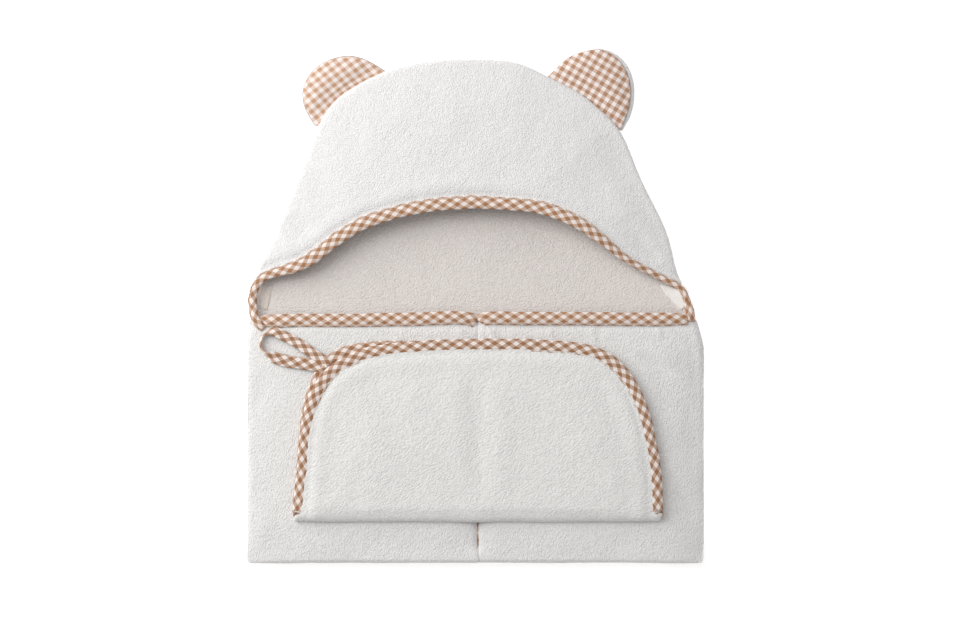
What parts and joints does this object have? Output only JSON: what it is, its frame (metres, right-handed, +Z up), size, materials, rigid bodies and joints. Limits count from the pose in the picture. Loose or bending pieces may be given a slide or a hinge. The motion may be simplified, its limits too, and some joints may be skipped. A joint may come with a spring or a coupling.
{
  "type": "hooded baby towel",
  "caption": "Folded terry baby towel with a bear-eared hood, its mouth and edges bound in gingham, and a folded washcloth with a hanging loop laid on it.",
  "frame": {"origin": "centre of the folded body's resting face, on the surface it lies on", "axes": "+Z up out of the surface; +Y from the folded body to the top of the hood; +X to the right, seen from above with the hood at the top"},
  "size_m": [0.375, 0.4267, 0.0298],
  "materials": {
    "terry": "white cotton terry, fine loops",
    "gingham_binding": "woven cotton, brown and white gingham cut on the bias",
    "gingham_ear": "woven cotton, brown and white gingham",
    "ear_padding": "soft white batting",
    "stitching": "white sewing thread"
  },
  "bodies": {
    "towel_body": {"upper_back_panel": "terry"},
    "left_side_panel": {"left_side_flap": "terry", "left_side_edge_binding": "gingham_binding", "left_shoulder_binding": "gingham_binding"},
    "right_side_panel": {"right_side_flap": "terry", "right_side_edge_binding": "gingham_binding", "right_shoulder_binding": "gingham_binding"},
    "middle_segment": {"middle_back_layer": "terry", "middle_front_flaps": "terry"},
    "lower_segment": {"lower_back_layer": "terry", "lower_front_flaps": "terry", "lower_hem_binding": "gingham_binding"},
    "hood_back": {"hood_back_panel": "terry", "hood_perimeter_seam": "terry", "left_corner_binding": "gingham_binding", "right_corner_binding": "gingham_binding"},
    "hood_front": {"hood_front_panel": "terry", "hood_face_binding": "gingham_binding"},
    "left_ear": {"left_ear_front": "gingham_ear", "left_ear_padding": "ear_padding", "left_ear_back": "terry"},
    "right_ear": {"right_ear_front": "gingham_ear", "right_ear_padding": "ear_padding", "right_ear_back": "terry"},
    "washcloth_base": {"washcloth_lower_half": "terry", "washcloth_lower_binding": "gingham_binding", "loop_bar_tack": "stitching"},
    "washcloth_top": {"washcloth_upper_half": "terry", "washcloth_upper_binding": "gingham_binding"},
    "hanging_loop_strip": {"hanging_loop": "gingham_binding"}
  },
  "joints": [
    {"name": "washcloth_lift", "type": "slide", "parent": "towel_body", "child": "washcloth_base", "axis": [0, 0, 1], "range_m": [0, 0.6]},
    {"name": "left_panel_open", "type": "hinge", "parent": "towel_body", "child": "left_side_panel", "pos_m": [-0.1875, 0.00575, 0.0165], "axis": [0, -1, 0], "range_deg": [0, 180]},
    {"name": "right_panel_open", "type": "hinge", "parent": "towel_body", "child": "right_side_panel", "pos_m": [0.1875, 0.00575, 0.0165], "axis": [0, 1, 0], "range_deg": [0, 180]},
    {"name": "lower_body_unfold", "type": "hinge", "parent": "towel_body", "child": "middle_segment", "pos_m": [0, -0.0985, 0.0131], "axis": [-1, 0, 0], "range_deg": [0, 179.9]},
    {"name": "lower_body_fan", "type": "hinge", "parent": "middle_segment", "child": "lower_segment", "pos_m": [0, 0.11, 0.0065], "axis": [1, 0, 0], "range_deg": [0, 180]},
    {"name": "hood_tilt", "type": "hinge", "parent": "towel_body", "child": "hood_back", "pos_m": [0, 0.11095, 0.01645], "axis": [1, 0, 0], "range_deg": [0, 90]},
    {"name": "hood_front_open", "type": "hinge", "parent": "hood_back", "child": "hood_front", "pos_m": [0, 0.3203, 0.00855], "axis": [-1, 0, 0], "range_deg": [0, 20]},
    {"name": "left_ear_flop", "type": "hinge", "parent": "hood_back", "child": "left_ear", "pos_m": [-0.10659, 0.29091, 0.00992], "axis": [0.7817, 0.6225, -0.0386], "range_deg": [0, 90]},
    {"name": "right_ear_flop", "type": "hinge", "parent": "hood_back", "child": "right_ear", "pos_m": [0.09443, 0.28986, 0.00999], "axis": [0.7949, -0.6056, 0.0376], "range_deg": [0, 90]},
    {"name": "washcloth_unfold", "type": "hinge", "parent": "washcloth_base", "child": "washcloth_top", "pos_m": [0, -0.0626, 0.0266], "axis": [1, 0, 0], "range_deg": [0, 179.9]},
    {"name": "loop_swing", "type": "hinge", "parent": "washcloth_base", "child": "hanging_loop_strip", "pos_m": [-0.12595, 0.06957, 0.02665], "axis": [0.6618, 0.7497, 0], "range_deg": [0, 130]}
  ],
  "couplings": [
    {"joint": "left_panel_open", "follows": "washcloth_lift", "rad_per_m": 5.2359},
    {"joint": "right_panel_open", "follows": "washcloth_lift", "rad_per_m": 5.2359},
    {"joint": "lower_body_fan", "follows": "lower_body_unfold", "ratio": 1}
  ]
}
